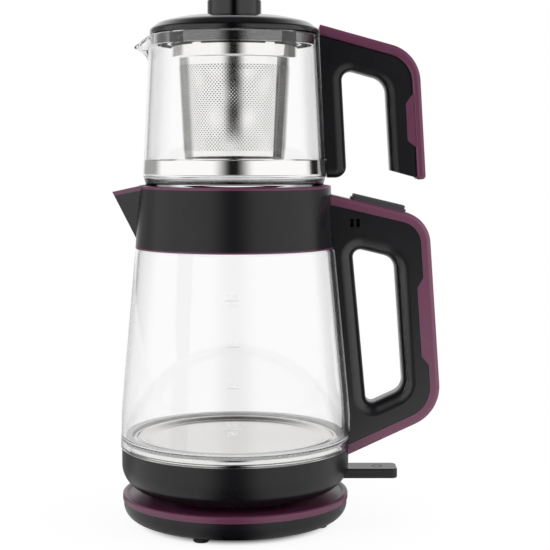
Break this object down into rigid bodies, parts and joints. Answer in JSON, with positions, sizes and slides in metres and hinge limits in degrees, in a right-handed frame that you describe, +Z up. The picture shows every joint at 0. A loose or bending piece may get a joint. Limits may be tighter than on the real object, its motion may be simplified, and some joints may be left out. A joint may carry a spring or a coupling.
{
  "type": "automatic tea maker",
  "caption": "Electric two-tier tea maker: glass kettle on a corded base, glass teapot with a hanging steel leaf infuser standing on its lid.",
  "frame": {"origin": "centre of the power base on the surface it stands on", "axes": "+Z up, +X towards the handles and the power lever, -X towards the spouts, +Y towards the cord inlet at the rear"},
  "size_m": [0.2297, 0.162, 0.367],
  "materials": {
    "black_abs": "satin",
    "purple_abs": "satin",
    "dark_tab": "matt",
    "gloss_black": "polished",
    "grey_plastic": "satin",
    "heatproof_plastic": "matt",
    "borosilicate_glass": "clear",
    "clear_plastic": "clear",
    "polished_steel": "polished",
    "brushed_steel": "brushed",
    "spring_steel": "drawn wire",
    "aluminium": "cast",
    "silicone": "matt",
    "foot_rubber": "matt",
    "contact_brass": "bright",
    "bimetal": "bright"
  },
  "bodies": {
    "base": {"base_housing": "black_abs", "base_top_cover": "purple_abs", "base_feet": "foot_rubber", "base_screws": "brushed_steel", "base_socket": "heatproof_plastic", "socket_contacts": "contact_brass", "cord_inlet": "foot_rubber"},
    "kettle": {"kettle_base_shell": "black_abs", "kettle_bottom_cover": "black_abs", "kettle_bottom_screws": "brushed_steel", "kettle_plug": "heatproof_plastic", "plug_contacts": "contact_brass", "thermostat_control": "heatproof_plastic", "control_screws": "brushed_steel", "bimetal_discs": "bimetal", "heating_element": "aluminium", "heat_spreader": "aluminium", "heater_plate": "brushed_steel", "plate_seal": "silicone", "clear_ring": "clear_plastic", "kettle_glass": "borosilicate_glass", "glass_rim_seal": "silicone", "collar_trim": "purple_abs", "collar": "black_abs", "collar_rim": "purple_abs", "spout_filter": "grey_plastic", "handle_grip": "black_abs", "handle_cover": "purple_abs", "steam_tube": "heatproof_plastic", "handle_screws": "brushed_steel", "catch_spring": "spring_steel", "button_spring": "spring_steel", "lever_pin": "brushed_steel"},
    "kettle_lid": {"kettle_lid": "black_abs", "kettle_lid_plate": "black_abs", "kettle_lid_screws": "brushed_steel", "kettle_lid_seal": "silicone"},
    "teapot": {"teapot_glass": "borosilicate_glass", "clamp_band": "polished_steel", "band_screw": "brushed_steel", "teapot_handle_grip": "black_abs", "teapot_handle_cover": "purple_abs"},
    "teapot_lid": {"teapot_lid_cap": "gloss_black", "lid_knob": "gloss_black", "knob_screw": "brushed_steel", "lid_skirt": "grey_plastic", "teapot_lid_screws": "brushed_steel"},
    "infuser": {"infuser_rim": "polished_steel", "infuser_basket": "polished_steel", "infuser_base": "polished_steel"},
    "release_button": {"release_button": "dark_tab"},
    "lid_catch": {"lid_catch": "grey_plastic"},
    "power_lever": {"power_lever": "black_abs"}
  },
  "joints": [
    {"name": "kettle_lift", "type": "slide", "parent": "base", "child": "kettle", "axis": [0, 0, 1], "range_m": [0, 0.05]},
    {"name": "kettle_lid_lift", "type": "slide", "parent": "kettle", "child": "kettle_lid", "axis": [0, 0, 1], "range_m": [0, 0.06]},
    {"name": "teapot_lift", "type": "slide", "parent": "kettle_lid", "child": "teapot", "axis": [0, 0, 1], "range_m": [0, 0.1]},
    {"name": "teapot_lid_lift", "type": "slide", "parent": "teapot", "child": "teapot_lid", "axis": [0, 0, 1], "range_m": [0, 0.12]},
    {"name": "infuser_turn", "type": "hinge", "parent": "teapot_lid", "child": "infuser", "pos_m": [0, 0, 0.3345], "axis": [0, 0, 1], "range_deg": [0, 22]},
    {"name": "release_press", "type": "slide", "parent": "kettle", "child": "release_button", "axis": [-0.2313, 0, -0.9729], "range_m": [0, 0.0022], "stiffness_N_per_m": 800, "springref_m": -0.001, "deforming": ["button_spring", "catch_spring"]},
    {"name": "catch_slide", "type": "slide", "parent": "kettle", "child": "lid_catch", "axis": [1, 0, 0], "range_m": [0, 0.00198]},
    {"name": "power_switch", "type": "hinge", "parent": "kettle", "child": "power_lever", "pos_m": [0.072, 0, 0.0351], "axis": [0, 1, 0], "range_deg": [0, 8]}
  ],
  "couplings": [
    {"joint": "catch_slide", "follows": "release_press", "ratio": 0.9}
  ]
}
